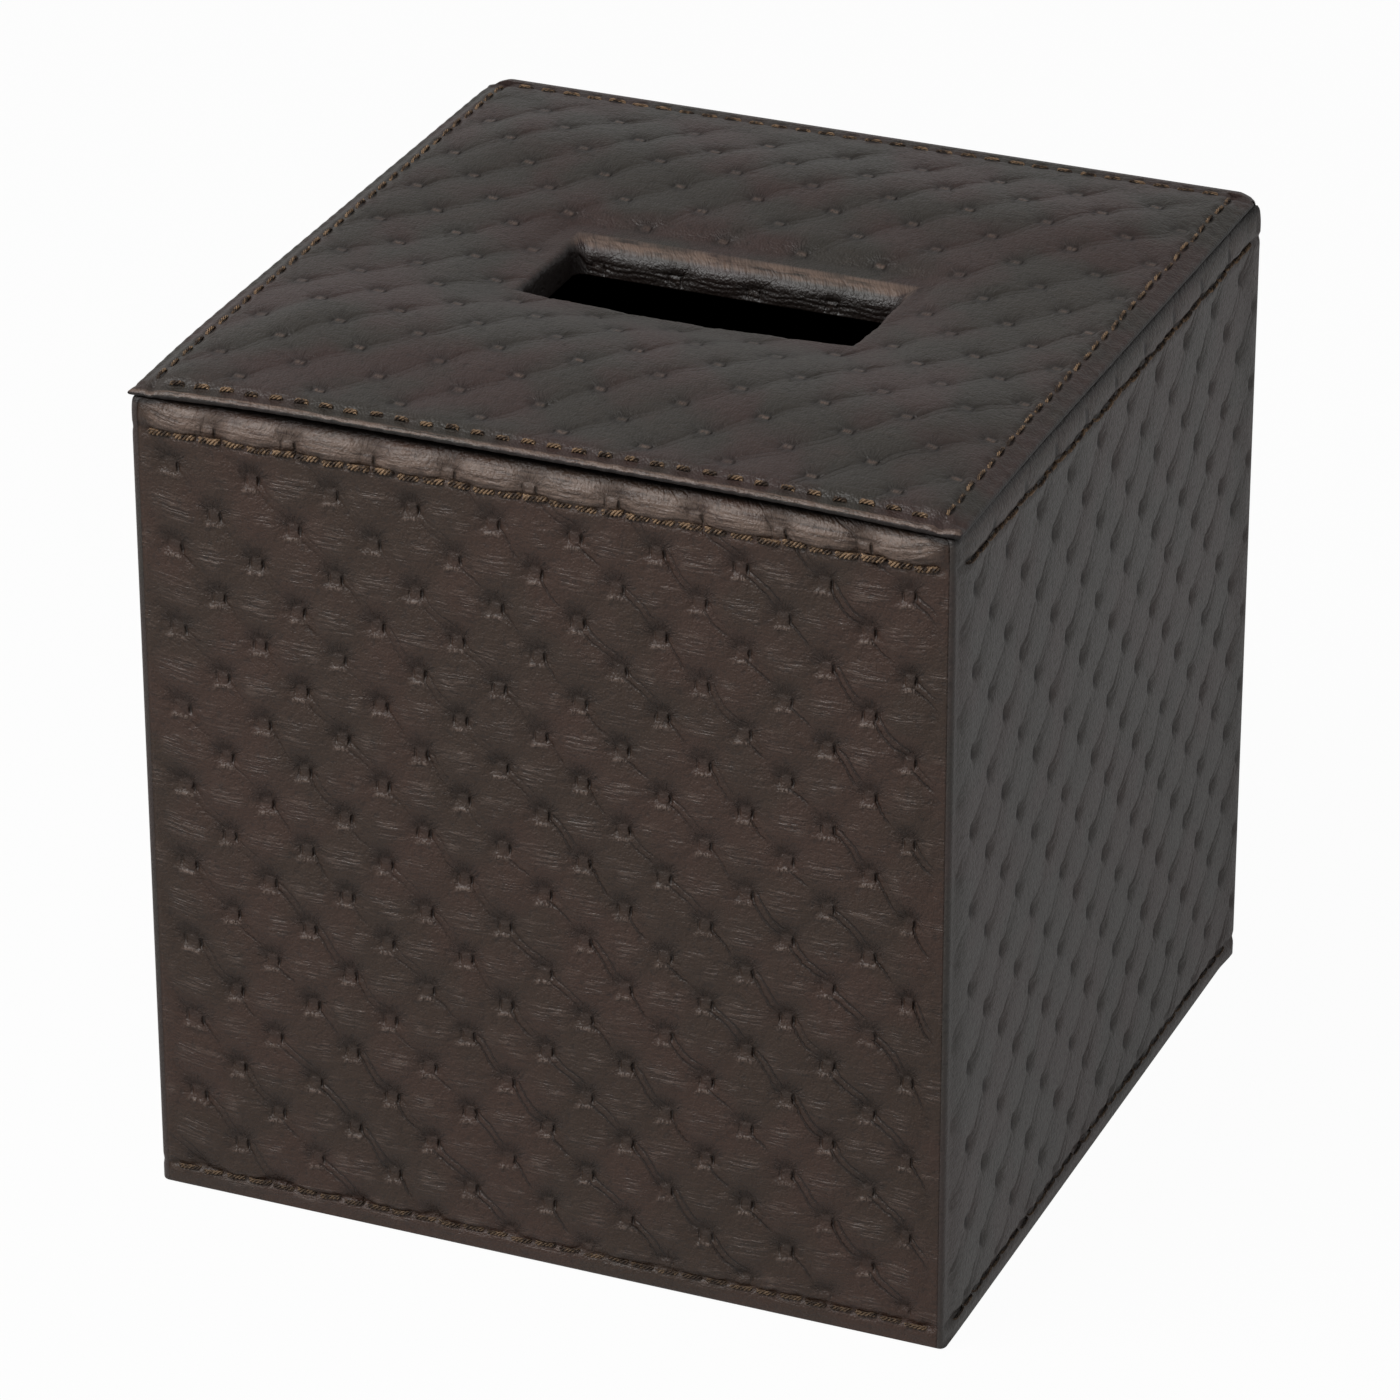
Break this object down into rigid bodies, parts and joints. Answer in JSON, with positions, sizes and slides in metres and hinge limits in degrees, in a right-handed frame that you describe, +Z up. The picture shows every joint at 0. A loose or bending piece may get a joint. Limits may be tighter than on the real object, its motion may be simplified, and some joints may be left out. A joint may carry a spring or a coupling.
{
  "type": "tissue box cover",
  "caption": "Cube tissue box cover in dark brown quilted leather, with a slotted lid that swings back on a leather hinge.",
  "frame": {"origin": "centre of the underside, on the surface that the cover stands on", "axes": "+Z up, -Y towards the front wall that the lid opens from, +X towards the right wall"},
  "size_m": [0.1372, 0.1406, 0.1432],
  "materials": {
    "brown_leather": "satin, embossed with a small tufted quilting",
    "tan_thread": "twisted sewing thread, slight sheen",
    "wood_fibre": "bare fibreboard",
    "black_velour": "short-pile lining cloth",
    "black_felt": "pressed felt",
    "plated_metal": "nickel plated"
  },
  "bodies": {
    "body": {"front_board": "wood_fibre", "rear_board": "wood_fibre", "left_board": "wood_fibre", "right_board": "wood_fibre", "base_board": "wood_fibre", "front_cover": "brown_leather", "rear_cover": "brown_leather", "left_cover": "brown_leather", "right_cover": "brown_leather", "front_lining": "black_velour", "rear_lining": "black_velour", "left_lining": "black_velour", "right_lining": "black_velour", "base_lining": "black_velour", "base_felt": "black_felt", "rim_magnets": "plated_metal", "body_top_stitching": "tan_thread", "body_foot_stitching": "tan_thread", "lid_hinge_strip": "brown_leather"},
    "lid": {"lid_board": "wood_fibre", "lid_locating_board": "wood_fibre", "lid_cover": "brown_leather", "lid_lining": "black_velour", "lid_keepers": "plated_metal", "lid_stitching": "tan_thread"}
  },
  "joints": [
    {"name": "lid_hinge", "type": "hinge", "parent": "body", "child": "lid", "pos_m": [0, 0.07, 0.13995], "axis": [-1, 0, 0], "range_deg": [0, 170], "deforming": ["lid_hinge_strip"]}
  ]
}
